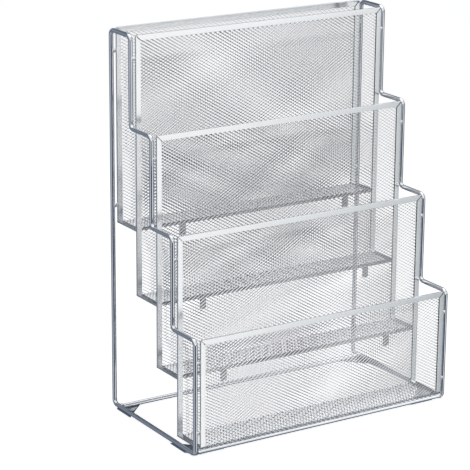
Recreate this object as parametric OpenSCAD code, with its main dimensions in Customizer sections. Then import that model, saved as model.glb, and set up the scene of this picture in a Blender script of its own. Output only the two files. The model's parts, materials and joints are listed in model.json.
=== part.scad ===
// Stepped file organizer: four mesh pockets, open at both ends, between two stepped wire side frames.
// X runs along the pockets, Y from the front to the back and Z up.
// The origin is on the table, under the middle of the rack.
// Pocket 1 is the rear one, which is the highest, and pocket 4 the front one.

/* [Frame] */
// Overall width across the two side frames
width = 330; // [280:1:420]
// Diameter of the frame wire and of the base rails
wire_d = 5; // [4:0.1:6]
// Bend radius of the frame wire, to its centre line
bend_r = 5.5; // [5:0.5:8]
// Height of the lowest step above the bottom run, between wire centres
front_h = 126; // [100:1:150]
// Drop from the top run to the second step, between wire centres
drop_1 = 99; // [70:0.5:120]
// Drop from the second step to the third
drop_2 = 98.5; // [70:0.5:120]
// Drop from the third step to the lowest one
drop_3 = 100; // [70:0.5:120]
// Height of the front rail's centre above the bottom run's centre, on the frame's front bend
front_rail_rise = 1.5; // [0.5:0.1:3]
// Distance of the rear rail from the rear upright, between wire centres
rear_rail_inset = 13; // [12:0.5:40]

/* [Pockets] */
// Depth of pocket 1, from wall to wall
pocket_1 = 41.5; // [32:0.5:60]
// Depth of pocket 2
pocket_2 = 43; // [32:0.5:60]
// Depth of pocket 3
pocket_3 = 43; // [32:0.5:60]
// Depth of pocket 4
pocket_4 = 46.5; // [32:0.5:60]
// Height of pocket 1's floor above the table
floor_1 = 214; // [195:0.5:235]
// Height of pocket 2's floor
floor_2 = 141.5; // [120:0.5:160]
// Height of pocket 3's floor
floor_3 = 72.5; // [50:0.5:90]

/* [Edge strips] */
// Width of a folded edge strip
strip_w = 6; // [4.5:0.1:8]
// Thickness of a folded edge strip
strip_t = 2.2; // [1.8:0.1:3]
// Width of the strip's closed edge, outside the sheet that it holds
strip_web = 1.8; // [1:0.1:2.4]
// Gap between a wall's strip and the frame wire beside it
strip_gap = 2; // [1:0.1:3]
// How far a wall's strips stand out in front of the frame wire's centre
strip_face = 3.5; // [2.6:0.1:4.5]
// Height of a wall's rim above the centre of the frame's run beside it
rim_rise = 1; // [-1:0.1:2.4]
// The same height for the rear wall's rim, which stands a little higher
rear_rim_rise = 2.4; // [-1:0.1:2.4]

/* [Mesh sheets] */
// Thickness of the expanded-metal sheets
mesh_t = 0.8; // [0.5:0.1:1.2]
// Clearance on each face of a sheet inside its strip
mesh_fit = 0.05; // [0.02:0.01:0.15]
// Clearance at the edge of a sheet inside its strip
mesh_end = 0.2; // [0.1:0.05:0.5]
// Bend radius at the foot of the front wall, to the middle of the sheet
foot_r = 4.1; // [3:0.1:4.2]
// Diamond opening pitch along the long way of the mesh
net_long = 60; // [50:1:90]
// Diamond opening pitch along the short way of the mesh
net_short = 38; // [34:1:60]
// Width of the strand between two openings
net_strand = 5; // [3:0.5:7]
// Plain border between the openings and the strips
net_border = 4; // [2:0.5:6]

/* [Tabs] */
// Width of a floor tab
tab_w = 8; // [5:0.5:12]
// Thickness of a floor tab
tab_t = 0.8; // [0.5:0.1:1.2]
// How far a bent tab hangs below the top of its slot end
tab_drop = 13; // [6:0.5:18]
// Distance of the left tabs from the middle of the rack
tab_left = 101; // [40:1:110]
// Distance of the right tabs from the middle of the rack
tab_right = 114; // [40:1:116]
// Clearance round a tab in its slot
tab_fit = 0.1; // [0.05:0.05:0.3]

/* [Welds] */
// Thickness of a weld bead
bead_d = 2.2; // [1.5:0.1:2.6]
// Distance of the upper weld beads below a wall's rim
weld_drop = 25; // [18:1:50]
// Distance of the lower weld beads above a pocket's floor
weld_rise = 20; // [12:1:50]

/* [Gussets] */
// Thickness of the corner gussets
gusset_t = 1.5; // [1:0.1:3]
// Length of a gusset's sides, from its corner
gusset_leg = 42; // [34:1:60]
// Length cut off at the gusset's corner
gusset_clip = 12; // [6:1:20]
// How far the front gussets are set back from the frame's front, behind the front rail
gusset_set = 8; // [0:0.5:15]

/* [Hidden] */
$fn = 48;
// Overshoot of a cutting shape past the face that it opens
over = 1;
wire_color = [0.60, 0.62, 0.66];
strip_color = [0.84, 0.85, 0.87];
mesh_color = [0.72, 0.74, 0.77];
plate_color = [0.78, 0.79, 0.81];

// Front and back of the rack, and the uprights' centres from the rear one to the front one
total_d = wire_d / 2 + pocket_1 + pocket_2 + pocket_3 + pocket_4 + strip_face;
y_0 = total_d / 2 - wire_d / 2;
y_1 = y_0 - pocket_1;
y_2 = y_1 - pocket_2;
y_3 = y_2 - pocket_3;
y_4 = y_3 - pocket_4;
upright_y = [y_0, y_1, y_2, y_3, y_4];

// Runs' centres from the bottom one up
z_base = gusset_t + wire_d / 2;
z_3 = z_base + front_h;
z_2 = z_3 + drop_3;
z_1 = z_2 + drop_2;
z_0 = z_1 + drop_1;

// Side frame's centre line in its own plane, as corners before bending
frame_path = [
    [y_0, z_base],
    [y_0, z_0],
    [y_1, z_0],
    [y_1, z_1],
    [y_2, z_1],
    [y_2, z_2],
    [y_3, z_2],
    [y_3, z_3],
    [y_4, z_3],
    [y_4, z_base]
];
frame_x = width / 2 - wire_d / 2;

// Base rails' centres: the front one lies in the hollow of the frame's front bend
rail_half = frame_x - wire_d / 2;
front_rail_z = z_base + front_rail_rise;
front_rail_y = y_4 + bend_r - sqrt(bend_r * bend_r - pow(bend_r - front_rail_rise, 2));
rear_rail_y = y_0 - rear_rail_inset;

// Strips' outer and inner edges, and how far a strip's slot and the sheet in it reach
strip_x = frame_x - wire_d / 2 - strip_gap;
strip_in = strip_x - strip_w;
slot_x = strip_x - strip_web;
mesh_x = slot_x - mesh_end;
slot_t = mesh_t + 2 * mesh_fit;

// Walls from the rear one to the front one: middle of the sheet, and the rim's height
wall_y = [for (y = upright_y) y - strip_face + strip_t / 2];
rim_z = [z_0 + rear_rim_rise, for (z = [z_0, z_1, z_2, z_3]) z + rim_rise];

// Floors from pocket 1 to pocket 4: the strips' underside, where the front one lies on the front rail
floor_z = [floor_1, floor_2, floor_3, front_rail_z + wire_d / 2];
front = len(wall_y) - 1;
last = len(floor_z) - 1;

// Axis of the bend at the foot of the front wall
foot_y = wall_y[front] + foot_r;
foot_z = floor_z[last] + strip_t / 2 + foot_r;

// Weld beads as pairs of wall number and height
weld_spots = [
    [0, floor_z[0] + weld_rise],
    [front, floor_z[last] + weld_rise],
    for (w = [0 : front]) [w, rim_z[w] - weld_drop]
];

function unit(v) = v / norm(v);
function strip_top(p) = floor_z[p] + strip_t;
function sheet_top(p) = floor_z[p] + (strip_t + mesh_t) / 2;

// Lays a shape drawn in Y and Z, with its thickness along X, at a place along X
module across(x) {
    translate([x, 0, 0]) rotate([90, 0, 90]) children();
}

// Stands an outline drawn in X and Z upright, with its thickness t centred on wall w's sheet
module upright(w, t) {
    translate([0, wall_y[w] + t / 2, 0]) rotate([90, 0, 0]) linear_extrude(t) children();
}

// Puts a shape made for the right side on the left side too
module on_left() {
    mirror([1, 0, 0]) children();
}

// Staggered diamonds that fill a rectangle from its low corner, as the openings of expanded metal
module diamonds(low, high) {
    size = high - low;
    columns = max(1, round(size.x / net_long));
    rows = max(2, round(2 * size.y / net_short)) - 1;
    half = [size.x / columns / 2, size.y / (rows + 1)];
    open = 1 - net_strand / 2 * norm(half) / (half.x * half.y);
    for (r = [0 : rows - 1]) {
        shift = r % 2;
        for (c = [0 : 1 : columns - 1 - shift]) {
            translate(low + [(2 * c + 1 + shift) * half.x, (r + 1) * half.y])
                polygon(open * [[half.x, 0], [0, half.y], [-half.x, 0], [0, -half.y]]);
        }
    }
}

// Round wire along a closed path of square corners, each bent to the bend radius
module wire_loop(path) {
    count = len(path);
    for (i = [0 : count - 1]) {
        here = path[i];
        next = path[(i + 1) % count];
        way_in = unit(here - path[(i + count - 1) % count]);
        way_out = unit(next - here);
        side = way_in - way_out;
        translate(here + bend_r * way_out)
            rotate([0, 90, atan2(way_out.y, way_out.x)])
            cylinder(h = norm(next - here) - 2 * bend_r, d = wire_d);
        translate(here - bend_r * side)
            rotate(atan2(side.y, side.x) - 45)
            rotate_extrude(angle = 90)
            translate([bend_r, 0])
            circle(d = wire_d);
    }
}

module side_frame(x) {
    color(wire_color) across(x) wire_loop(frame_path);
}

module base_rail(y, z) {
    color(wire_color)
        translate([-rail_half, y, z])
        rotate([0, 90, 0])
        cylinder(h = 2 * rail_half, d = wire_d);
}

// Flat corner plate, with side -1 or 1 and its corner under the frame's corner at y, pointing inwards
module gusset(side, y, inwards) {
    outline = [[gusset_clip, 0], [gusset_leg, 0], [0, gusset_leg], [0, gusset_clip]];
    color(plate_color)
        linear_extrude(gusset_t)
        polygon([for (p = outline) [side * (width / 2 - p.x), y + inwards * p.y]]);
}

// Sweeps a section drawn in radius and X round the bend at the foot of the front wall
module foot_bend() {
    translate([0, foot_y, foot_z]) rotate([90, 0, 90]) rotate(180) rotate_extrude(angle = 90) children();
}

// Openings of wall w's sheet above height bottom
module wall_openings(w, bottom) {
    reach = strip_in - net_border;
    diamonds([-reach, bottom + net_border], [reach, rim_z[w] - strip_w - net_border]);
}

// Slots in wall w's sheet for the tabs of the floor behind it
module tab_slots(w) {
    size = [tab_w, tab_t] + 2 * tab_fit * [1, 1];
    for (x = [-tab_left, tab_right]) {
        translate([x, floor_z[w - 1] + strip_t / 2]) square(size, center = true);
    }
}

// Sheet of a wall that stands on the floor of its pocket
module wall_mesh(w) {
    rim = rim_z[w] - strip_web - mesh_end;
    foot = sheet_top(w);
    ledge = strip_top(w);
    outline = [
        [-mesh_x, rim],
        [-mesh_x, ledge],
        [-strip_in, ledge],
        [-strip_in, foot],
        [strip_in, foot],
        [strip_in, ledge],
        [mesh_x, ledge],
        [mesh_x, rim]
    ];
    color(mesh_color) upright(w, mesh_t) difference() {
        polygon(outline);
        wall_openings(w, ledge);
        if (w > 0) tab_slots(w);
    }
}

// Sheet of the front wall, bent round at its foot to meet the front pocket's floor
module front_wall_mesh() {
    rim = rim_z[front] - strip_web - mesh_end;
    color(mesh_color) {
        upright(front, mesh_t) difference() {
            translate([-mesh_x, foot_z]) square([2 * mesh_x, rim - foot_z]);
            wall_openings(front, foot_z);
        }
        foot_bend() translate([foot_r - mesh_t / 2, -mesh_x]) square([mesh_t, 2 * mesh_x]);
    }
}

// Room that wall w's sheet takes inside its strips, from height bottom up
module wall_slot(w, bottom) {
    upright(w, slot_t)
        translate([-slot_x, bottom - over])
        square([2 * slot_x, rim_z[w] - strip_web - bottom + over]);
}

module wall_top_strip(w) {
    rim = rim_z[w];
    low = rim - strip_w;
    color(strip_color) difference() {
        upright(w, strip_t) polygon([[-strip_x, rim], [strip_x, rim], [strip_in, low], [-strip_in, low]]);
        wall_slot(w, low);
    }
}

// Straight right strip of wall w from height bottom up to its mitre
module wall_side_bar(w, bottom) {
    rim = rim_z[w];
    mitre = rim - strip_w;
    difference() {
        upright(w, strip_t)
            polygon([[strip_x, bottom], [strip_x, rim], [strip_in, mitre], [strip_in, bottom]]);
        wall_slot(w, bottom);
    }
}

module wall_side_strip(w) {
    color(strip_color) wall_side_bar(w, strip_top(w));
}

// Right strip of the front wall, which follows the bend at its foot
module front_wall_side_strip() {
    color(strip_color) {
        wall_side_bar(front, foot_z);
        foot_bend() difference() {
            translate([foot_r - strip_t / 2, strip_in]) square([strip_t, strip_w]);
            translate([foot_r - slot_t / 2, strip_in - over]) square([slot_t, slot_x - strip_in + over]);
        }
    }
}

// Back face of the wall sheet in front of pocket p, and where the floor's sheet and side strips end
function ahead_y(p) = wall_y[p + 1] + mesh_t / 2;
function sheet_front(p) = p < last ? ahead_y(p) + strip_web + mesh_end : foot_y;
function strip_front(p) = p < last ? wall_y[p + 1] + strip_t / 2 : foot_y;

module floor_mesh(p) {
    back = wall_y[p] + mesh_t / 2;
    low = sheet_front(p);
    open_front = (p < last ? ahead_y(p) + strip_w : foot_y) + net_border;
    open_back = wall_y[p] - mesh_t / 2 - net_border;
    reach = strip_in - net_border;
    color(mesh_color)
        translate([0, 0, sheet_top(p) - mesh_t])
        linear_extrude(mesh_t)
        difference() {
            translate([-mesh_x, low]) square([2 * mesh_x, back - low]);
            diamonds([-reach, open_front], [reach, open_back]);
        }
}

module floor_side_strip(p) {
    back = wall_y[p] + strip_t / 2;
    low = strip_front(p);
    color(strip_color) difference() {
        translate([strip_in, low, floor_z[p]]) cube([strip_w, back - low, strip_t]);
        translate([strip_in - over, low - over, floor_z[p] + (strip_t - slot_t) / 2])
            cube([slot_x - strip_in + over, back - low + 2 * over, slot_t]);
    }
}

// Bent tab: flat through the wall's slot, then down the wall's face
module tab(p, x) {
    face = wall_y[p + 1] - mesh_t / 2;
    top = floor_z[p] + (strip_t + tab_t) / 2;
    translate([x - tab_w / 2, face - tab_t, top - tab_t]) cube([tab_w, mesh_t + 2 * tab_t, tab_t]);
    translate([x - tab_w / 2, face - tab_t, top - tab_drop]) cube([tab_w, tab_t, tab_drop]);
}

// Front strip of a rear floor, against the wall ahead, with its two tabs
module floor_front_strip(p) {
    slot_y = ahead_y(p) + strip_web;
    color(strip_color) {
        difference() {
            translate([-strip_in, ahead_y(p), floor_z[p]]) cube([2 * strip_in, strip_w, strip_t]);
            translate([-strip_in - over, slot_y, floor_z[p] + (strip_t - slot_t) / 2])
                cube([2 * (strip_in + over), strip_w, slot_t]);
        }
        tab(p, -tab_left);
        tab(p, tab_right);
    }
}

// Weld beads between the right side frame and the wall strips: each fills the gap from strip to wire
module weld_beads() {
    color(plate_color) for (spot = weld_spots) {
        wire_y = upright_y[spot[0]];
        bead_y = wire_y - strip_face + strip_t;
        difference() {
            translate([strip_x, bead_y, spot[1]])
                rotate([0, 90, 0])
                cylinder(h = frame_x - strip_x, d = bead_d);
            translate([frame_x, wire_y, spot[1] - bead_d]) cylinder(h = 2 * bead_d, d = wire_d);
        }
    }
}

// Frame and base
side_frame(-frame_x);  // left_side_frame
side_frame(frame_x);  // right_side_frame
base_rail(front_rail_y, front_rail_z);  // front_base_rail
base_rail(rear_rail_y, z_base);  // rear_base_rail
gusset(-1, y_4 - wire_d / 2 + gusset_set, 1);  // front_left_gusset
gusset(1, y_4 - wire_d / 2 + gusset_set, 1);  // front_right_gusset
gusset(-1, y_0 + wire_d / 2, -1);  // rear_left_gusset
gusset(1, y_0 + wire_d / 2, -1);  // rear_right_gusset

// Walls
wall_mesh(0);  // rear_wall_mesh
wall_top_strip(0);  // rear_wall_top_strip
on_left() wall_side_strip(0);  // rear_wall_left_strip
wall_side_strip(0);  // rear_wall_right_strip
wall_mesh(1);  // second_wall_mesh
wall_top_strip(1);  // second_wall_top_strip
on_left() wall_side_strip(1);  // second_wall_left_strip
wall_side_strip(1);  // second_wall_right_strip
wall_mesh(2);  // third_wall_mesh
wall_top_strip(2);  // third_wall_top_strip
on_left() wall_side_strip(2);  // third_wall_left_strip
wall_side_strip(2);  // third_wall_right_strip
wall_mesh(3);  // fourth_wall_mesh
wall_top_strip(3);  // fourth_wall_top_strip
on_left() wall_side_strip(3);  // fourth_wall_left_strip
wall_side_strip(3);  // fourth_wall_right_strip
front_wall_mesh();
wall_top_strip(front);  // front_wall_top_strip
on_left() front_wall_side_strip();  // front_wall_left_strip
front_wall_side_strip();  // front_wall_right_strip

// Pocket floors
floor_mesh(0);  // pocket_1_floor_mesh
on_left() floor_side_strip(0);  // pocket_1_floor_left_strip
floor_side_strip(0);  // pocket_1_floor_right_strip
floor_mesh(1);  // pocket_2_floor_mesh
on_left() floor_side_strip(1);  // pocket_2_floor_left_strip
floor_side_strip(1);  // pocket_2_floor_right_strip
floor_mesh(2);  // pocket_3_floor_mesh
on_left() floor_side_strip(2);  // pocket_3_floor_left_strip
floor_side_strip(2);  // pocket_3_floor_right_strip
floor_mesh(3);  // pocket_4_floor_mesh
on_left() floor_side_strip(3);  // pocket_4_floor_left_strip
floor_side_strip(3);  // pocket_4_floor_right_strip
floor_front_strip(0);  // pocket_1_floor_front_strip
floor_front_strip(1);  // pocket_2_floor_front_strip
floor_front_strip(2);  // pocket_3_floor_front_strip

// Welds
on_left() weld_beads();  // left_weld_beads
weld_beads();  // right_weld_beads
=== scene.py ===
# %% [markdown]
# # A stepped rack of wire and expanded metal
# This lesson dresses a desk rack for files: two bent wire side frames carry five walls and four floors of
# silver expanded metal, open at both ends, and folded strips bind the cut edges of the sheets.
# The rack's sizes are already fixed in a frame of plain solids. It is loaded first, and each solid then
# makes way for a finer piece of the same size in the same place.

# %% Load the rack's fixed frame
import json
import math
import random

import bmesh
import bpy
from mathutils import Matrix, Vector

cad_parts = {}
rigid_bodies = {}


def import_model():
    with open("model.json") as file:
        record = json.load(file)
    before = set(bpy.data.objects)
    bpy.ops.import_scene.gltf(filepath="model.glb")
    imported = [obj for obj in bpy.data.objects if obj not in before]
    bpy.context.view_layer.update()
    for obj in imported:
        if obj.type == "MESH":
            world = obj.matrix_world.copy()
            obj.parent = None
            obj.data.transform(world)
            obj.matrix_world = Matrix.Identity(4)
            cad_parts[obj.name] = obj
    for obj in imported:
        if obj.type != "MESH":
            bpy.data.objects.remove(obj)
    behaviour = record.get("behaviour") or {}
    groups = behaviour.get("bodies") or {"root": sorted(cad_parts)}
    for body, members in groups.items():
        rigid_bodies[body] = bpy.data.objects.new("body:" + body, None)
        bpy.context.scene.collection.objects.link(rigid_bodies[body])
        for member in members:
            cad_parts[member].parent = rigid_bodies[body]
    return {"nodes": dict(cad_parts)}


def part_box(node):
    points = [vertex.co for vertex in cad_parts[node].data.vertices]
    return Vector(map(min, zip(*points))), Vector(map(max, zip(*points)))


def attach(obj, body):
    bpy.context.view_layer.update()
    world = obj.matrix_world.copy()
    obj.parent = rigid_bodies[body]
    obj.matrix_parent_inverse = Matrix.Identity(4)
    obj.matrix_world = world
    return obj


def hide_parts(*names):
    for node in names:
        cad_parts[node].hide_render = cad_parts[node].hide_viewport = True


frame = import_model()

MM = 0.001
scene = bpy.context.scene
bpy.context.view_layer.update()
print("solids in the frame:", len(frame["nodes"]))

# %% [markdown]
# ## Camera
# The rack is seen from its front left, a little from above, through a long lens that hardly tapers it.
# A camera could be turned by hand until the picture looks right. Here the directions right, up and ahead
# are worked out from three angles, and the camera is put where the middle of the rack falls in its place.

# %% Camera
IMAGE_PX = 470
LENS_PX = 2113.8
SENSOR_MM = 36
AZIMUTH = math.radians(-32.26)
ELEVATION = math.radians(16.83)
ROLL = math.radians(0.42)
AIM = Vector((0, 0, 215 * MM))
AIM_RIGHT = 51.25 * MM
AIM_UP = 16.68 * MM
AIM_AHEAD = 2313.2 * MM

level_ahead = Vector((-math.sin(AZIMUTH), math.cos(AZIMUTH), 0))
ahead = math.cos(ELEVATION) * level_ahead - Vector((0, 0, math.sin(ELEVATION)))
level_right = Vector((math.cos(AZIMUTH), math.sin(AZIMUTH), 0))
level_up = level_right.cross(ahead)
right = math.cos(ROLL) * level_right + math.sin(ROLL) * level_up
up = math.cos(ROLL) * level_up - math.sin(ROLL) * level_right
eye = AIM - AIM_RIGHT * right - AIM_UP * up - AIM_AHEAD * ahead

bpy.ops.object.camera_add(location=eye)
camera = bpy.context.object
camera.matrix_world = Matrix.Translation(eye) @ Matrix((right, up, -ahead)).transposed().to_4x4()
camera.data.sensor_width = SENSOR_MM
camera.data.lens = LENS_PX / IMAGE_PX * SENSOR_MM
scene.camera = camera
print("camera at", [round(value, 3) for value in eye], "lens in mm:", round(camera.data.lens, 1))

# %% [markdown]
# ## Studio light
# Silver paint shows little but what stands round it, so the room matters as much as the lamps. One even
# white room would make the wires look like paper. A real studio hangs cards round the rack, and so does
# this room, by direction: a bright ceiling with three grey panels, and below the horizon darkness with two
# cards and a dim glow at the back left. The strips mirror the edge of the white card at the front right, so
# they fade from white at the left to grey at the right. The pale card at the left draws the light line along
# each wire, and the glow shows in the level runs. The panels dim the right ends of the sheets, their falling
# strands and the top faces of the strips. Three weak lamps fill in, and the paper floor is kept out of the
# mirror images.
#
# Each list below gives colours with their places from 0 to 1. In height, 0.5 is level and 1 overhead, and a
# lean brings the ceiling lower in front. In the way round, 0 is at the left, 0.25 in front, 0.5 at the right
# and 0.75 behind.

# %% Colours of the room
AMBIENT = (0.12, 0.13, 0.15, 1)
WHITE = (1, 1, 1, 1)
CARD = (1.12, 1.12, 1.12, 1)
HORIZON = 0.06
CEILING_WAY = (0, -0.3, 1)
NIGHT = (0.04, 0.055, 0.085, 1)
PALE = (0.44, 0.47, 0.51, 1)
PANEL = (0.52, 0.52, 0.52, 1)
DIM = (0.17, 0.20, 0.25, 1)
GLOW = (0.24, 0.28, 0.34, 1)
SHADE = (0.40, 0.40, 0.42, 1)
DUSK = (0.33, 0.38, 0.41, 1)
GLOOM = (0.08, 0.09, 0.11, 1)
MIRRORED_ROOM = [
    (0.50, GLOW),
    (0.71, GLOOM),
    (0.76, WHITE),
]
MIRRORED_CARDS = [
    (0.00, PALE),
    (0.09, PALE),
    (0.125, NIGHT),
    (0.265, NIGHT),
    (0.285, CARD),
    (0.342, CARD),
    (0.358, DUSK),
    (0.41, NIGHT),
    (0.70, NIGHT),
    (0.78, DIM),
    (0.90, DIM),
    (0.955, PALE),
]
CEILING_PANELS = [
    (0.00, WHITE),
    (0.20, WHITE),
    (0.225, PANEL),
    (0.29, PANEL),
    (0.33, WHITE),
    (0.44, WHITE),
    (0.455, SHADE),
    (0.505, SHADE),
    (0.52, WHITE),
    (0.62, WHITE),
    (0.635, SHADE),
    (0.675, SHADE),
    (0.69, WHITE),
]
print("colours in the mirrored room:", len(MIRRORED_ROOM + MIRRORED_CARDS + CEILING_PANELS))

# %% Room round the rack
scene.view_settings.view_transform = "Standard"
scene.world = bpy.data.worlds.new("studio_room")
scene.world.use_nodes = True
room_nodes = scene.world.node_tree.nodes
room_links = scene.world.node_tree.links
room = room_nodes["Background"]


def room_node(kind, **settings):
    """A new node of the room with the given settings."""
    node = room_nodes.new(kind)
    for name, value in settings.items():
        setattr(node, name, value)
    return node


def ramp(spots):
    """A colour ramp node with the given places and colours."""
    node = room_node("ShaderNodeValToRGB")
    for place, _ in spots[1:-1]:
        node.color_ramp.elements.new(place)
    for stop, (place, colour) in zip(node.color_ramp.elements, spots):
        stop.position = place
        stop.color = colour
    return node


room_way = room_node("ShaderNodeTexCoord")
room_split = room_node("ShaderNodeSeparateXYZ")
room_lean = room_node("ShaderNodeVectorMath", operation="DOT_PRODUCT")
room_lean.inputs[1].default_value = CEILING_WAY
room_height = room_node("ShaderNodeMapRange")
room_height.inputs["From Min"].default_value = -1
room_round = room_node("ShaderNodeTexGradient", gradient_type="RADIAL")
room_above = room_node("ShaderNodeMapRange")
room_above.inputs["From Max"].default_value = HORIZON
room_around = room_node("ShaderNodeMix", data_type="RGBA")
room_mirrored = ramp(MIRRORED_ROOM)
room_cards = ramp(MIRRORED_CARDS)
room_panels = ramp(CEILING_PANELS)
room_ceiling = room_node("ShaderNodeMix", data_type="RGBA", blend_type="MULTIPLY")
room_ceiling.inputs["Factor"].default_value = 1
room_seen = room_node("ShaderNodeLightPath")
room_shiny = room_node("ShaderNodeMath", operation="MAXIMUM")
room_soft = room_node("ShaderNodeMix", data_type="RGBA")
room_soft.inputs["A"].default_value = AMBIENT
room_white = room_node("ShaderNodeMix", data_type="RGBA")
room_white.inputs["B"].default_value = WHITE
print("room nodes:", len(room_nodes))

# %% Wiring of the room
room_wires = [
    (room_way.outputs["Generated"], room_split.inputs["Vector"]),
    (room_way.outputs["Generated"], room_lean.inputs[0]),
    (room_way.outputs["Generated"], room_round.inputs["Vector"]),
    (room_lean.outputs["Value"], room_height.inputs["Value"]),
    (room_height.outputs["Result"], room_mirrored.inputs["Fac"]),
    (room_round.outputs["Fac"], room_cards.inputs["Fac"]),
    (room_round.outputs["Fac"], room_panels.inputs["Fac"]),
    (room_mirrored.outputs["Color"], room_ceiling.inputs["A"]),
    (room_panels.outputs["Color"], room_ceiling.inputs["B"]),
    (room_split.outputs["Z"], room_above.inputs["Value"]),
    (room_above.outputs["Result"], room_around.inputs["Factor"]),
    (room_cards.outputs["Color"], room_around.inputs["A"]),
    (room_ceiling.outputs["Result"], room_around.inputs["B"]),
    (room_seen.outputs["Is Glossy Ray"], room_shiny.inputs[0]),
    (room_seen.outputs["Is Transmission Ray"], room_shiny.inputs[1]),
    (room_shiny.outputs["Value"], room_soft.inputs["Factor"]),
    (room_around.outputs["Result"], room_soft.inputs["B"]),
    (room_soft.outputs["Result"], room_white.inputs["A"]),
    (room_seen.outputs["Is Camera Ray"], room_white.inputs["Factor"]),
    (room_white.outputs["Result"], room.inputs["Color"]),
]
for source, target in room_wires:
    room_links.new(source, target)
print("room links:", len(room_links))

# %% Lamps
def softbox(name, place, size, watts, spread):
    """A square area lamp that faces the rack's middle, with a grid that narrows its beam."""
    bpy.ops.object.light_add(type="AREA", location=place)
    lamp = bpy.context.object
    lamp.name = name
    lamp.rotation_euler = (AIM - Vector(place)).to_track_quat("-Z", "Y").to_euler()
    lamp.data.size = size
    lamp.data.energy = watts
    lamp.data.spread = math.radians(spread)
    return lamp


key_lamp = softbox("key_lamp", (0.8, -0.9, 0.5), size=0.6, watts=0.12, spread=90)
top_lamp = softbox("top_lamp", (0.3, 0.1, 1.3), size=1.1, watts=3.0, spread=180)
fill_lamp = softbox("fill_lamp", (-0.5, -0.95, 0.45), size=0.7, watts=0.19, spread=80)
print("lamps in W:", [lamp.data.energy for lamp in (key_lamp, top_lamp, fill_lamp)])

# %% Floor
FLOOR_SIDE = 14
FLOOR_COLOUR = (0.88, 0.88, 0.88, 1)
FLOOR_ROUGH = 0.7
FLOOR_LIFT = 0.85

bpy.ops.mesh.primitive_plane_add(size=FLOOR_SIDE, location=(0, 0, 0))
floor = bpy.context.object
floor.name = "studio_floor"
floor_paper = bpy.data.materials.new("floor_paper")
floor_paper.use_nodes = True
paper_nodes = floor_paper.node_tree.nodes
paper_links = floor_paper.node_tree.links
paper = paper_nodes["Principled BSDF"]
paper.inputs["Base Color"].default_value = FLOOR_COLOUR
paper.inputs["Roughness"].default_value = FLOOR_ROUGH
paper.inputs["Emission Color"].default_value = WHITE
paper_seen = paper_nodes.new("ShaderNodeLightPath")
paper_lift = paper_nodes.new("ShaderNodeMath")
paper_lift.operation = "MULTIPLY"
paper_lift.inputs[1].default_value = FLOOR_LIFT
paper_links.new(paper_seen.outputs["Is Camera Ray"], paper_lift.inputs[0])
paper_links.new(paper_lift.outputs["Value"], paper.inputs["Emission Strength"])
floor.visible_glossy = False
floor.data.materials.append(floor_paper)
print("floor side in m:", FLOOR_SIDE)

# %% [markdown]
# ## Finishes
# Every part of the rack is steel under silver paint, but the paint lies differently on each. On the wires
# it flows into a glossy skin, on the folded strips it stays pale and satin, and on the fine strands of the
# sheets it dries a little rougher. The floors, their front strips with the tabs, and the corner plates lie
# in the shade of the rack, so their mixes are darker: painted shade. The open seams and the grooves get an
# almost black mix, partly the dark of bare steel, partly painted shadow. One function mixes all of them:
# a slow drift in tone, fine metal flakes, and a faint orange-peel skin, each from noise at its real size.

# %% Mix the silver paints
CLOUD_SIZE = 26 * MM
FLAKE_SIZE = 0.6 * MM
FLAKE_SHARE = 0.4
SKIN_SIZE = 1.4 * MM
SKIN_DEEP = 0.05 * MM
NOISE_LOW = 0.3
NOISE_HIGH = 0.7
SHEEN_SWING = 0.15


def silver_paint(name, tone, metal, rough, drift, peel):
    """Silver paint whose tone drifts, with flakes in it and a skin like orange peel."""
    paint = bpy.data.materials.new(name)
    paint.use_nodes = True
    nodes = paint.node_tree.nodes
    links = paint.node_tree.links
    shader = nodes["Principled BSDF"]
    shader.inputs["Metallic"].default_value = metal
    place = nodes.new("ShaderNodeTexCoord")

    def noise(grain, detail):
        texture = nodes.new("ShaderNodeTexNoise")
        texture.inputs["Scale"].default_value = 1 / grain
        texture.inputs["Detail"].default_value = detail
        links.new(place.outputs["Object"], texture.inputs["Vector"])
        return texture

    cloud = noise(CLOUD_SIZE, detail=3)
    flakes = noise(FLAKE_SIZE, detail=1)
    skin = noise(SKIN_SIZE, detail=2)
    speckle = nodes.new("ShaderNodeMix")
    speckle.inputs["Factor"].default_value = FLAKE_SHARE
    tones = nodes.new("ShaderNodeValToRGB")
    tones.color_ramp.elements[0].position = NOISE_LOW
    tones.color_ramp.elements[0].color = [channel * (1 - drift) for channel in tone] + [1]
    tones.color_ramp.elements[1].position = NOISE_HIGH
    tones.color_ramp.elements[1].color = [min(1, channel * (1 + drift)) for channel in tone] + [1]
    sheen = nodes.new("ShaderNodeMapRange")
    sheen.inputs["From Min"].default_value = NOISE_LOW
    sheen.inputs["From Max"].default_value = NOISE_HIGH
    sheen.inputs["To Min"].default_value = rough * (1 - SHEEN_SWING)
    sheen.inputs["To Max"].default_value = rough * (1 + SHEEN_SWING)
    bumps = nodes.new("ShaderNodeBump")
    bumps.inputs["Strength"].default_value = peel
    bumps.inputs["Distance"].default_value = SKIN_DEEP
    links.new(cloud.outputs["Fac"], speckle.inputs["A"])
    links.new(flakes.outputs["Fac"], speckle.inputs["B"])
    links.new(speckle.outputs["Result"], tones.inputs["Fac"])
    links.new(tones.outputs["Color"], shader.inputs["Base Color"])
    links.new(cloud.outputs["Fac"], sheen.inputs["Value"])
    links.new(sheen.outputs["Result"], shader.inputs["Roughness"])
    links.new(skin.outputs["Fac"], bumps.inputs["Height"])
    links.new(bumps.outputs["Normal"], shader.inputs["Normal"])
    return paint


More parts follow.
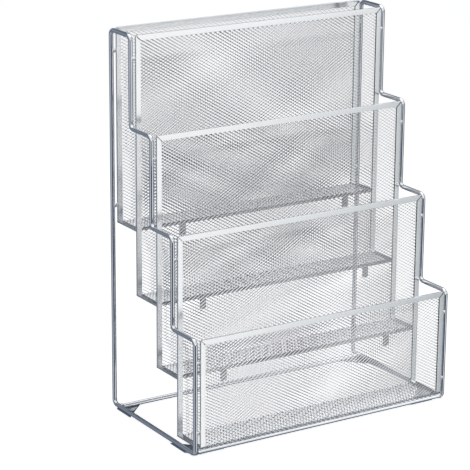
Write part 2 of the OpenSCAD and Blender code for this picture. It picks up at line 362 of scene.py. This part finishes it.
wire_paint = silver_paint("wire_silver", (0.86, 0.88, 0.91), metal=1.0, rough=0.06, drift=0.08, peel=0.25)
strip_paint = silver_paint("strip_silver", (0.91, 0.92, 0.93), metal=0.95, rough=0.2, drift=0.04, peel=0.3)
sheet_paint = silver_paint("sheet_silver", (0.80, 0.80, 0.81), metal=0.92, rough=0.1, drift=0.06, peel=0.2)
# Painted shade: the floor, fold and plate mixes are darker for the shade of the rack round these parts.
floor_shade_paint = silver_paint("floor_shaded_silver", (0.60, 0.61, 0.64), metal=0.92, rough=0.16, drift=0.06, peel=0.2)
fold_shade_paint = silver_paint("fold_shaded_silver", (0.44, 0.46, 0.49), metal=0.95, rough=0.28, drift=0.08, peel=0.3)
plate_shade_paint = silver_paint("plate_shaded_silver", (0.60, 0.63, 0.67), metal=1.0, rough=0.1, drift=0.06, peel=0.2)
weld_paint = silver_paint("weld_silver", (0.92, 0.92, 0.93), metal=0.95, rough=0.25, drift=0.08, peel=0.4)
# Painted shadow: an almost black mix for the open seams and the grooves, partly the dark of bare steel.
seam_shadow_paint = silver_paint("seam_shadow", (0.05, 0.05, 0.06), metal=0.2, rough=0.6, drift=0.2, peel=0.4)
print("paints of the large pieces:", [paint.name for paint in (wire_paint, strip_paint, sheet_paint)])
print("darker paints:", [paint.name for paint in (floor_shade_paint, fold_shade_paint, plate_shade_paint, seam_shadow_paint)])
print("weld paint:", weld_paint.name)

# %% [markdown]
# ## Working by hand, in code
# In the window a maker clicks faces and presses keys. The helpers below do the same: one clears the
# selection, one picks points, edges or faces by where they are, one pulls the picked part out, one turns it
# round a quarter bend, and one hands a finished piece over to the frame in place of its plain solid. The
# others close up a mesh, apply its modifiers, break its sharp edges and copy a piece.

# %% Selecting and shaping
def fresh():
    """Leaves nothing selected, so that the next tool acts on the new piece alone."""
    if bpy.context.object and bpy.context.object.mode == "EDIT":
        bpy.ops.object.mode_set(mode="OBJECT")
    bpy.ops.object.select_all(action="DESELECT")


def pick(kind, test):
    """In edit mode, selects the VERT, EDGE or FACE parts that pass the test."""
    bpy.ops.mesh.select_mode(type=kind)
    bpy.ops.mesh.select_all(action="DESELECT")
    mesh = bpy.context.object.data
    net = bmesh.from_edit_mesh(mesh)
    parts = {"VERT": net.verts, "EDGE": net.edges, "FACE": net.faces}[kind]
    for part in parts:
        if test(part):
            part.select_set(True)
    net.select_flush_mode()
    bmesh.update_edit_mesh(mesh)


def pull(move):
    """Extrudes what is selected by a move."""
    bpy.ops.mesh.extrude_region_move(TRANSFORM_OT_translate={"value": move})


def quarter_bend(centre, turn, steps):
    """Sweeps what is selected round a quarter circle about an axis along X, turn 1 from Y towards Z."""
    bpy.ops.mesh.spin(steps=steps, angle=-turn * math.radians(90), center=centre, axis=(1, 0, 0))


fresh()
print("objects still selected:", len(bpy.context.selected_objects))

# %% Finishing a piece
DOUBLE = 0.005 * MM
SHARP_FROM = math.radians(40)
SMOOTH_TO = math.radians(35)
EDGE_STEPS = 2


def close_up():
    """Merges doubled points and points every face outwards."""
    bpy.ops.mesh.select_all(action="SELECT")
    bpy.ops.mesh.remove_doubles(threshold=DOUBLE)
    bpy.ops.mesh.normals_make_consistent(inside=False)
    bpy.ops.object.mode_set(mode="OBJECT")


def apply_all(piece):
    """Makes the modifiers of the active piece part of its mesh."""
    for modifier in list(piece.modifiers):
        bpy.ops.object.modifier_apply(modifier=modifier.name)


def soften(piece, width, segments=EDGE_STEPS):
    """Breaks the sharp edges of a piece, as a die or a brush leaves them, and keeps its faces flat."""
    edge = piece.modifiers.new("broken_edges", "BEVEL")
    edge.width = width
    edge.segments = segments
    edge.limit_method = "ANGLE"
    edge.angle_limit = SHARP_FROM
    apply_all(piece)
    bpy.ops.object.shade_smooth_by_angle(angle=SMOOTH_TO)
    flat = piece.modifiers.new("flat_faces", "WEIGHTED_NORMAL")
    flat.keep_sharp = True
    apply_all(piece)


def hand_over(piece, name, node, paint):
    """Names and paints a finished piece, and lets it stand for the frame's plain solid."""
    piece.name = name
    piece.data.name = name
    if not piece.data.materials:
        piece.data.materials.append(paint)
    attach(piece, "root")
    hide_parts(node)


def copy_of(piece, move):
    """A copy with its own mesh, moved and then applied."""
    fresh()
    piece.select_set(True)
    bpy.context.view_layer.objects.active = piece
    bpy.ops.object.duplicate(linked=False)
    twin = bpy.context.object
    twin.location = move
    bpy.ops.object.transform_apply(location=True, rotation=True, scale=True)
    return twin


print("edges are broken from", round(math.degrees(SHARP_FROM)), "degrees")

# %% [markdown]
# ## Where the wires run
# The five walls lean against the uprights of the side frames, so the walls' strips in the frame give the
# place of every upright and of every level run. Reading them there keeps the wires and the walls together.

# %% Places of the wires
WALLS = ["rear", "second", "third", "fourth", "front"]
POCKETS = [1, 2, 3, 4]
SIDES = [("left", -1), ("right", 1)]
STRIP_FACE = 3.5 * MM
RIM_RISE = 1.0 * MM
BEND_R = 5.5 * MM

left_low, left_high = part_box("left_side_frame")
wire_r = (left_high.x - left_low.x) / 2
left_x = left_low.x + wire_r
right_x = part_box("right_side_frame")[0].x + wire_r
base_z = left_low.z + wire_r
rims = {wall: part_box(f"{wall}_wall_top_strip") for wall in WALLS}
upright_y = [rims[wall][0].y + STRIP_FACE for wall in WALLS]
run_z = [rims[wall][1].z - RIM_RISE for wall in WALLS]
frame_path = [(upright_y[0], base_z)]
for step in range(len(WALLS) - 1):
    frame_path.append((upright_y[step], run_z[step + 1]))
    frame_path.append((upright_y[step + 1], run_z[step + 1]))
frame_path.append((upright_y[-1], base_z))
frame_path = [Vector((0, y, z)) for y, z in frame_path]
print("frame corners in mm:", [(round(p.y / MM, 1), round(p.z / MM, 1)) for p in frame_path])

# %% [markdown]
# ## Side frames
# Each side frame is one length of 5 mm wire, bent on a jig into four steps and closed with a butt weld. A
# curve with a round bevel would do, but its corners bulge or pinch. A ring that is pulled along each run
# and spun round each corner keeps the wire round all the way, like the bending tool itself.

# %% Side frames
RING_POINTS = 24
BEND_STEPS = 8


def bent_frame(x):
    """One closed wire loop of the side frame, in the plane at x."""
    start = frame_path[0] + Vector((x, 0, BEND_R))
    fresh()
    bpy.ops.mesh.primitive_circle_add(vertices=RING_POINTS, radius=wire_r, location=start)
    bpy.ops.object.transform_apply(location=True, rotation=True, scale=True)
    bpy.ops.object.mode_set(mode="EDIT")
    bpy.ops.mesh.select_all(action="SELECT")
    count = len(frame_path)
    for index in range(count):
        here = frame_path[index]
        corner = frame_path[(index + 1) % count]
        beyond = frame_path[(index + 2) % count]
        way = (corner - here).normalized()
        next_way = (beyond - corner).normalized()
        pull(way * ((corner - here).length - 2 * BEND_R))
        centre = corner + BEND_R * (next_way - way) + Vector((x, 0, 0))
        quarter_bend(centre, way.cross(next_way).x, BEND_STEPS)
    close_up()
    bpy.ops.object.shade_smooth()
    return bpy.context.object


left_frame = bent_frame(left_x)
hand_over(left_frame, "left_frame_wire", "left_side_frame", wire_paint)
right_frame = copy_of(left_frame, (right_x - left_x, 0, 0))
hand_over(right_frame, "right_frame_wire", "right_side_frame", wire_paint)
print("faces in a side frame:", len(left_frame.data.polygons))

# %% [markdown]
# ## Base rails
# Two straight wires tie the side frames together near the table. Each end is welded to the frame, and the
# weld leaves a small flared collar. The rail starts as a ring inside the frame's wire, and the collar comes
# from pulling the ring in short steps while it shrinks to the rail's own size.

# %% Base rails
COLLAR_R = 3.1 * MM
COLLAR_LONG = 1.6 * MM
COLLAR_STEPS = 4
RAIL_SUNK = 2.2 * MM
RAIL_SMOOTH_TO = math.radians(50)


def base_rail(node):
    """A rail across the rack, with a weld collar at each end."""
    low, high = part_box(node)
    middle = (low + high) / 2
    radius = (high.z - low.z) / 2
    reach = (high.x - low.x) / 2
    stations = [(-reach - RAIL_SUNK, COLLAR_R)]
    for step in range(COLLAR_STEPS + 1):
        part = step / COLLAR_STEPS
        flare = (COLLAR_R - radius) * (1 - part) ** 2
        stations.append((-reach + part * COLLAR_LONG, radius + flare))
    stations += [(-x, r) for x, r in reversed(stations)]
    fresh()
    bpy.ops.mesh.primitive_circle_add(
        vertices=RING_POINTS,
        radius=stations[0][1],
        location=(stations[0][0], middle.y, middle.z),
        rotation=(0, math.radians(90), 0),
        fill_type="NGON",
    )
    bpy.ops.object.transform_apply(location=True, rotation=True, scale=True)
    bpy.ops.object.mode_set(mode="EDIT")
    bpy.ops.mesh.select_all(action="SELECT")
    for (x, r), (next_x, next_r) in zip(stations, stations[1:]):
        pull((next_x - x, 0, 0))
        here = (next_x, middle.y, middle.z)
        bpy.ops.transform.resize(value=(next_r / r,) * 3, center_override=here)
    close_up()
    bpy.ops.object.shade_smooth_by_angle(angle=RAIL_SMOOTH_TO)
    return bpy.context.object


for side in ["front", "rear"]:
    rail = base_rail(f"{side}_base_rail")
    hand_over(rail, f"{side}_rail_wire", f"{side}_base_rail", wire_paint)
    print(side, "rail's faces:", len(rail.data.polygons))

# %% [markdown]
# ## Corner plates
# The rack stands on four flat plates welded under the corners of the frames. Each is a triangle of sheet
# with its sharp outer corner cut off. A plane that loses one point and has another one bevelled is that
# blank. The rear ones end a little behind the rear rail, so bisect trims them there, and each blank is then
# pulled up to its thickness.

# %% Corner plates
PLATE_CLIP = 12 * MM
PLATE_BEHIND = 6 * MM
PLATE_EDGE = 0.3 * MM

plate_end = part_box("rear_base_rail")[1].y + PLATE_BEHIND


def corner_plate(node, outwards):
    """A clipped triangle in the node's box, with its clipped corner towards the way outwards."""
    low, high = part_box(node)
    middle = (low + high) / 2
    fresh()
    bpy.ops.mesh.primitive_plane_add(size=high.x - low.x, location=(middle.x, middle.y, low.z))
    bpy.ops.object.transform_apply(location=True, rotation=True, scale=True)
    bpy.ops.object.mode_set(mode="EDIT")

    def outness(point):
        away = point.co - middle
        return (away.x * outwards[0] > 0) + (away.y * outwards[1] > 0)

    pick("VERT", lambda point: outness(point) == 0)
    bpy.ops.mesh.delete(type="VERT")
    bpy.ops.mesh.select_all(action="SELECT")
    bpy.ops.mesh.edge_face_add()
    pick("VERT", lambda point: outness(point) == 2)
    bpy.ops.mesh.bevel(offset=PLATE_CLIP, affect="VERTICES", segments=1)
    bpy.ops.mesh.select_all(action="SELECT")
    bpy.ops.mesh.bisect(plane_co=(0, plate_end, 0), plane_no=(0, 1, 0), clear_outer=True)
    bpy.ops.mesh.select_all(action="SELECT")
    pull((0, 0, high.z - low.z))
    close_up()
    plate = bpy.context.object
    soften(plate, PLATE_EDGE)
    return plate


for depth, forth in [("front", -1), ("rear", 1)]:
    for side, across in SIDES:
        node = f"{depth}_{side}_gusset"
        plate = corner_plate(node, (across, forth))
        hand_over(plate, f"{depth}_{side}_corner_plate", node, plate_shade_paint)
        print(plate.name, "faces:", len(plate.data.polygons))

# %% [markdown]
# ## Expanded metal
# Expanded metal starts as a plain sheet: a press slits it in staggered rows and pulls it open, so it has no
# joins. Strands run from bond to bond, and the pulling tilts them. A picture of diamonds on a flat sheet
# would not show that from the side. Here one bond with its two upper strands is modelled once, from a small
# diamond whose upper sides are pulled out, and arrays repeat it over the sheet. Each opening costs only
# three faces before the sheet gets its thickness.

# %% One bond and its strands
LONG_WAY = 6.0 * MM
SHORT_WAY = 3.65 * MM
STRAND_WIDE = 0.52 * MM
STRAND_THICK = 0.2 * MM
STRAND_TILT = 0.41 * MM
HAIR = 0.01 * MM

half_long = LONG_WAY / 2
half_short = SHORT_WAY / 2
strand_line = half_long * half_short / math.hypot(half_long, half_short)
open_part = 1 - STRAND_WIDE / 2 / strand_line
open_long = open_part * half_long
open_short = open_part * half_short
bond_long = half_long - open_long
bond_short = half_short - open_short


def edge_is(edge, sideways):
    """True for the upper side of the bond diamond on its left (-1) or right (1) side."""
    ends = [point.co for point in edge.verts]
    top = any(abs(end.x) < HAIR and end.z > HAIR for end in ends)
    tip = any(abs(end.x - sideways * bond_long) < HAIR and abs(end.z) < HAIR for end in ends)
    return top and tip


def one_bond():
    """A bond diamond in the XZ plane with the two strands that rise from it."""
    fresh()
    bpy.ops.mesh.primitive_circle_add(
        vertices=4,
        radius=1,
        fill_type="NGON",
        rotation=(math.radians(90), 0, 0),
    )
    bond = bpy.context.object
    bond.scale = (bond_long, bond_short, 1)
    bpy.ops.object.transform_apply(location=True, rotation=True, scale=True)
    bpy.ops.object.mode_set(mode="EDIT")
    pick("VERT", lambda point: point.co.z > HAIR)
    bpy.ops.transform.translate(value=(0, STRAND_TILT, 0))
    pick("VERT", lambda point: point.co.z < -HAIR)
    bpy.ops.transform.translate(value=(0, -STRAND_TILT, 0))
    for sideways in (-1, 1):
        pick("EDGE", lambda edge: edge_is(edge, sideways))
        pull((sideways * open_long, -STRAND_TILT, open_short))
    close_up()
    return bond


print("share of the sheet that is open:", round(open_part ** 2, 2))

# %% [markdown]
# ## Sheets
# A sheet is the bond repeated over its size: one array adds the staggered row, two more fill the width and
# the height. The slits are never quite square to the cut edges, so a sheet's pattern may lean a little. The
# edges are cut straight with bisect, as a guillotine does it, and Solidify gives the strands their
# thickness. Every sheet is made flat round the origin and then stood in its place.

# %% Sheets of expanded metal
def repeat(piece, count, step):
    """Lines up copies of a piece, each a step from the last one."""
    row = piece.modifiers.new("row", "ARRAY")
    row.count = count
    row.use_relative_offset = False
    row.use_constant_offset = True
    row.constant_offset_displace = step
    apply_all(piece)


def guillotine(corner, outwards):
    """Cuts off what lies beyond a corner."""
    bpy.ops.mesh.select_all(action="SELECT")
    bpy.ops.mesh.bisect(plane_co=corner, plane_no=outwards, clear_outer=True)


def flat_sheet(wide, high, cuts=(), lean=0.0):
    """Expanded metal in the XZ plane round the origin, one face thick, with slots cut out of it."""
    columns = math.ceil((wide + abs(lean) * high) / LONG_WAY / 2) + 1
    rows = math.ceil(high / SHORT_WAY / 2) + 1
    sheet = one_bond()
    sheet.location = (-columns * LONG_WAY, 0, -rows * SHORT_WAY)
    bpy.ops.object.transform_apply(location=True, rotation=True, scale=True)
    repeat(sheet, 2, (half_long, 0, half_short))
    repeat(sheet, 2 * columns, (LONG_WAY, 0, 0))
    repeat(sheet, 2 * rows, (0, 0, SHORT_WAY))
    sheet.data.transform(Matrix.Shear("XY", 4, (lean, 0)))
    bpy.ops.object.mode_set(mode="EDIT")
    bpy.ops.mesh.select_all(action="SELECT")
    bpy.ops.mesh.remove_doubles(threshold=DOUBLE)
    guillotine((wide / 2, 0, 0), (1, 0, 0))
    guillotine((-wide / 2, 0, 0), (-1, 0, 0))
    guillotine((0, 0, high / 2), (0, 0, 1))
    guillotine((0, 0, -high / 2), (0, 0, -1))
    for low, top in cuts:

        def inside(face):
            spot = face.calc_center_median()
            return low[0] < spot.x < top[0] and low[1] < spot.z < top[1]

        pick("FACE", inside)
        bpy.ops.mesh.delete(type="FACE")
    bpy.ops.mesh.select_all(action="SELECT")
    bpy.ops.mesh.normals_make_consistent(inside=False)
    bpy.ops.object.mode_set(mode="OBJECT")
    return sheet


def stand(sheet, place, turn):
    """Turns a flat sheet, puts its middle at a place, and gives its strands their thickness."""
    sheet.rotation_euler = turn
    sheet.location = place
    bpy.ops.object.transform_apply(location=True, rotation=True, scale=True)
    wall = sheet.modifiers.new("strand_thickness", "SOLIDIFY")
    wall.thickness = STRAND_THICK
    wall.offset = 0
    apply_all(sheet)
    bpy.ops.object.shade_flat()


print("openings in 10 by 10 mm:", round(2 * (10 * MM) ** 2 / (LONG_WAY * SHORT_WAY), 1))

# %% [markdown]
# ## Wall sheets
# The rear four walls are flat. Three of them have slots that the tabs of the floor behind pass through, so
# the strands are cleared there. The front wall's sheet is cut longer than its wall is high, because its foot
# is rolled back into the floor of the front pocket: its lowest strands are wound round the axis of that
# bend.

# %% Wall sheets
TAB_WIDE = 8.0 * MM
TAB_THICK = 0.8 * MM
TAB_DROP = 13.0 * MM
TAB_PLACES = [-101 * MM, 114 * MM]
TAB_ROOM = 0.7 * MM
FOOT_R = 4.1 * MM
STRIP_THICK = 2.2 * MM
UPRIGHT = (0, 0, 0)
SHEET_LEAN = {"rear": -0.01, "second": -0.02, "third": 0.01, "fourth": -0.05, "front": -0.1}


def floor_middle(pocket):
    """Height of the middle of a pocket's floor."""
    low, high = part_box(f"pocket_{pocket}_floor_left_strip")
    return (low.z + high.z) / 2


for index, wall in enumerate(WALLS[:-1]):
    low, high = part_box(f"{wall}_wall_mesh")
    middle = (low + high) / 2
    size = high - low
    cuts = []
    if index > 0:
        slot_z = floor_middle(index) - middle.z
        for x in TAB_PLACES:
            reach = TAB_WIDE / 2
            cuts.append(((x - reach, slot_z - TAB_ROOM), (x + reach, slot_z + TAB_ROOM)))
    sheet = flat_sheet(size.x, size.z, cuts, SHEET_LEAN[wall])
    stand(sheet, middle, UPRIGHT)
    hand_over(sheet, f"{wall}_wall_sheet", f"{wall}_wall_mesh", sheet_paint)
    print(sheet.name, "faces:", len(sheet.data.polygons))

# %% Front wall's sheet with its rolled foot
low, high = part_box("front_wall_mesh")
front_y = (rims["front"][0].y + rims["front"][1].y) / 2
foot_axis = Vector((0, front_y + FOOT_R, floor_middle(POCKETS[-1]) + FOOT_R))
foot_arc = FOOT_R * math.pi / 2
tall = high.z - foot_axis.z + foot_arc
front_sheet = flat_sheet(high.x - low.x, tall, lean=SHEET_LEAN["front"])
lift = high.z - tall / 2
for point in front_sheet.data.vertices:
    below = foot_axis.z - (point.co.z + lift)
    if below > 0:
        radius = FOOT_R - point.co.y
        angle = below / FOOT_R
        point.co.y = FOOT_R - radius * math.cos(angle)
        point.co.z = foot_axis.z - radius * math.sin(angle) - lift
stand(front_sheet, (0, front_y, lift), UPRIGHT)
hand_over(front_sheet, "front_wall_sheet", "front_wall_mesh", sheet_paint)
print("front_wall_sheet faces:", len(front_sheet.data.polygons))

# %% [markdown]
# ## Floor sheets
# The floors are cut from the same stock, with the long way of the openings from front to back. So each is a
# flat sheet that is turned a quarter about Z and laid down about X. The pockets have no sheets at their
# ends: there the side frames alone keep the papers in.

# %% Floor sheets
LYING = (math.radians(90), 0, math.radians(90))

for pocket in POCKETS:
    node = f"pocket_{pocket}_floor_mesh"
    low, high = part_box(node)
    sheet = flat_sheet(high.y - low.y, high.x - low.x)
    stand(sheet, (low + high) / 2, LYING)
    hand_over(sheet, f"pocket_{pocket}_floor_sheet", node, floor_shade_paint)
    print("pocket", pocket, "floor sheet faces:", len(sheet.data.polygons))

# %% [markdown]
# ## Folded strips
# A guillotined edge of expanded metal is a row of spikes, so a strip of thin steel is folded over it. From
# outside the strip is a flat bar with one rounded long edge, where the fold is, and a groove in the other,
# where the sheet goes in. At the upper corners the strips meet in a mitre, with an open seam. A cube pulled
# to the bar's size gets the fold by bevel, the groove by inset and extrude, and the mitre by bisect.
# The groove and the seam get an almost black paint: painted shade in these gaps, partly bare steel.

# %% Folded strips
FOLD_R = 0.4 * MM
FOLD_STEPS = 3
GROOVE_WIDE = 1.7 * MM
GROOVE_DEEP = 3.4 * MM
SEAM = 0.8 * MM
SEAM_EDGE = 0.2 * MM
STRIP_EDGE = 0.12 * MM
SHADOW_SLOT = 1
FACING = 0.9
SQUARE_ON = 0.99


def folded_bar(low, high, inwards, mitres=(), paint=strip_paint):
    """A strip in a box. Its groove looks inwards, and each mitre is a cut at a corner with its way out."""
    middle = (low + high) / 2
    inwards = Vector(inwards)
    fresh()
    bpy.ops.mesh.primitive_cube_add(size=1, location=middle)
    bar = bpy.context.object
    bar.scale = high - low
    bpy.ops.object.transform_apply(location=True, rotation=True, scale=True)
    bar.data.materials.append(paint)
    bar.data.materials.append(seam_shadow_paint)
    bpy.ops.object.mode_set(mode="EDIT")
    longest = max(high - low)

    def is_fold(edge):
        ends = [point.co for point in edge.verts]
        outer = all((end - middle).dot(inwards) < 0 for end in ends)
        return outer and (ends[0] - ends[1]).length > longest - HAIR

    pick("EDGE", is_fold)
    bpy.ops.mesh.bevel(offset=FOLD_R, segments=FOLD_STEPS, affect="EDGES")
    pick("FACE", lambda face: face.normal.dot(inwards) > FACING)
    bpy.ops.mesh.inset(thickness=(STRIP_THICK - GROOVE_WIDE) / 2, depth=0)
    pull(-GROOVE_DEEP * inwards)
    # The groove and the faces round it get the almost black mix: painted shade in the groove.
    bpy.ops.mesh.select_more()
    bar.active_material_index = SHADOW_SLOT
    bpy.ops.object.material_slot_assign()
    for corner, outwards in mitres:
        cut = Vector(outwards).normalized()
        bpy.ops.mesh.select_all(action="SELECT")
        place = Vector(corner) - SEAM / 2 * cut
        bpy.ops.mesh.bisect(plane_co=place, plane_no=cut, use_fill=True, clear_outer=True)
        # The mitre's cut faces and their bevel get the same mix: painted shadow in the open seam.
        pick("FACE", lambda face: face.normal.dot(cut) > SQUARE_ON)
        bpy.ops.object.material_slot_assign()
        bpy.ops.mesh.bevel(offset=SEAM_EDGE, affect="EDGES", clamp_overlap=True, material=SHADOW_SLOT)
    return bar


def finish_strip(bar, name, node):
    """Breaks the strip's edges and hands it over."""
    close_up()
    soften(bar, STRIP_EDGE)
    hand_over(bar, name, node, strip_paint)


for wall in WALLS:
    node = f"{wall}_wall_top_strip"
    low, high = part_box(node)
    corners = [((low.x, 0, high.z), (-1, 0, -1)), ((high.x, 0, high.z), (1, 0, -1))]
    bar = folded_bar(low, high, (0, 0, -1), corners)
    finish_strip(bar, f"{wall}_wall_top_fold", node)
    for side, out in SIDES:
        node = f"{wall}_wall_{side}_strip"
        low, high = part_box(node)
        foot = wall == "front"
        if foot:
            high.y = low.y + STRIP_THICK
            low.z = foot_axis.z
        outer_x = low.x if out < 0 else high.x
        bar = folded_bar(low, high, (-out, 0, 0), [((outer_x, 0, high.z), (-out, 0, 1))])
        if foot:
            pick("FACE", lambda face: face.normal.z < -FACING)
            quarter_bend(foot_axis, 1, BEND_STEPS)
        finish_strip(bar, f"{wall}_wall_{side}_fold", node)
    print(wall, "wall's strips done, faces in the last:", len(bar.data.polygons))

# %% Floors' side strips
for pocket in POCKETS:
    for side, out in SIDES:
        node = f"pocket_{pocket}_floor_{side}_strip"
        low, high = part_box(node)
        bar = folded_bar(low, high, (-out, 0, 0))
        finish_strip(bar, f"pocket_{pocket}_floor_{side}_fold", node)
    print("pocket", pocket, "side strip's faces:", len(bar.data.polygons))

# %% [markdown]
# ## Front strips with their tabs
# The three rear floors are hung on the wall ahead of them: two tabs of the front strip go through slots in
# that wall and are bent down on its face. A tab is a narrow ribbon, pulled forwards, spun round its bend
# and pulled down, with rounded lower corners. It is then joined to its strip.

# %% Front strips with their tabs
TAB_BEND = 0.9 * MM
TAB_STEPS = 4
TAB_AHEAD = 0.25 * MM
TAB_ROOT = 2.0 * MM
TAB_CORNER = 1.5 * MM
TAB_EDGE = 0.15 * MM
TAB_EDGE_STEPS = 1


def tab(x, back_y, leg_y, top_z):
    """A tab from the strip forwards to its leg and down, with its middle surface at the given places."""
    reach = TAB_WIDE / 2
    fresh()
    bpy.ops.mesh.primitive_plane_add(size=TAB_WIDE, location=(x, back_y, top_z))
    bpy.ops.object.transform_apply(location=True, rotation=True, scale=True)
    bpy.ops.object.mode_set(mode="EDIT")
    pick("VERT", lambda point: point.co.y > back_y)
    bpy.ops.mesh.delete(type="VERT")
    bpy.ops.mesh.select_all(action="SELECT")
    bpy.ops.transform.translate(value=(0, reach, 0))
    pull((0, leg_y + TAB_BEND - back_y, 0))
    quarter_bend((x, leg_y + TAB_BEND, top_z - TAB_BEND), 1, TAB_STEPS)
    pull((0, 0, TAB_THICK / 2 + TAB_BEND - TAB_DROP))
    pick("VERT", lambda point: point.co.z < top_z - TAB_DROP / 2)
    bpy.ops.mesh.bevel(offset=TAB_CORNER, affect="VERTICES", segments=TAB_STEPS)
    close_up()
    ribbon = bpy.context.object
    wall = ribbon.modifiers.new("tab_thickness", "SOLIDIFY")
    wall.thickness = TAB_THICK
    wall.offset = 0
    apply_all(ribbon)
    soften(ribbon, TAB_EDGE, TAB_EDGE_STEPS)
    ribbon.data.materials.append(fold_shade_paint)
    return ribbon


for pocket in POCKETS[:-1]:
    node = f"pocket_{pocket}_floor_front_strip"
    low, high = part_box(node)
    side_low, side_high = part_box(f"pocket_{pocket}_floor_left_strip")
    ahead_low, ahead_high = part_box(f"{WALLS[pocket]}_wall_mesh")
    bar_low = Vector((low.x, ahead_high.y + TAB_AHEAD, side_low.z))
    bar_high = Vector((high.x, high.y, side_high.z))
    bar = folded_bar(bar_low, bar_high, (0, 1, 0), paint=fold_shade_paint)
    close_up()
    soften(bar, STRIP_EDGE)
    leg_y = ahead_low.y - TAB_THICK / 2 - TAB_AHEAD
    tab_z = (side_low.z + side_high.z) / 2
    tabs = [tab(x, bar_low.y + TAB_ROOT, leg_y, tab_z) for x in TAB_PLACES]
    fresh()
    for part in tabs + [bar]:
        part.select_set(True)
    bpy.context.view_layer.objects.active = bar
    bpy.ops.object.join()
    hand_over(bar, f"pocket_{pocket}_floor_front_fold", node, fold_shade_paint)
    print(bar.name, "faces:", len(bar.data.polygons))

# %% [markdown]
# ## Weld beads
# Short welds hold the wall strips to the uprights, one below each rim and two more near the rear floor and
# the front foot. A weld bead is a squashed drop, never quite like the next one. Each starts as a small ball
# whose points are pushed in and out by a seeded random draw, and the beads of a side are joined.

# %% Weld beads
BEAD_BELOW_RIM = 25 * MM
BEAD_ABOVE_FLOOR = 20 * MM
BEAD_SIZE = Vector((2.8, 2.3, 2.5)) * MM
BEAD_UNEVEN = 0.12
BEAD_SPLITS = 2
BEAD_ROUNDING = 1
BEAD_SEED = 7
draws = random.Random(BEAD_SEED)


def weld_bead(place):
    """One uneven drop of weld round a place."""
    fresh()
    bpy.ops.mesh.primitive_ico_sphere_add(subdivisions=BEAD_SPLITS, radius=1, location=place)
    bead = bpy.context.object
    bead.scale = BEAD_SIZE
    bpy.ops.object.transform_apply(location=True, rotation=True, scale=True)
    for point in bead.data.vertices:
        push = 1 + draws.uniform(-1, 1) * BEAD_UNEVEN
        point.co = place + (point.co - place) * push
    swell = bead.modifiers.new("rounded_bead", "SUBSURF")
    swell.levels = BEAD_ROUNDING
    swell.render_levels = BEAD_ROUNDING
    apply_all(bead)
    bpy.ops.object.shade_smooth()
    return bead


bead_spots = [(index, rims[wall][1].z - BEAD_BELOW_RIM) for index, wall in enumerate(WALLS)]
bead_spots.append((0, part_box("pocket_1_floor_left_strip")[0].z + BEAD_ABOVE_FLOOR))
bead_spots.append((len(WALLS) - 1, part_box("pocket_4_floor_left_strip")[0].z + BEAD_ABOVE_FLOOR))
for side, _ in SIDES:
    low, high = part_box(f"{side}_weld_beads")
    bead_x = (low.x + high.x) / 2
    beads = []
    for index, bead_z in bead_spots:
        bead_y = upright_y[index] - STRIP_FACE + STRIP_THICK
        beads.append(weld_bead(Vector((bead_x, bead_y, bead_z))))
    fresh()
    for bead in beads:
        bead.select_set(True)
    bpy.context.view_layer.objects.active = beads[0]
    bpy.ops.object.join()
    hand_over(beads[0], f"{side}_weld_drops", f"{side}_weld_beads", weld_paint)
    print(side, "beads:", len(bead_spots))
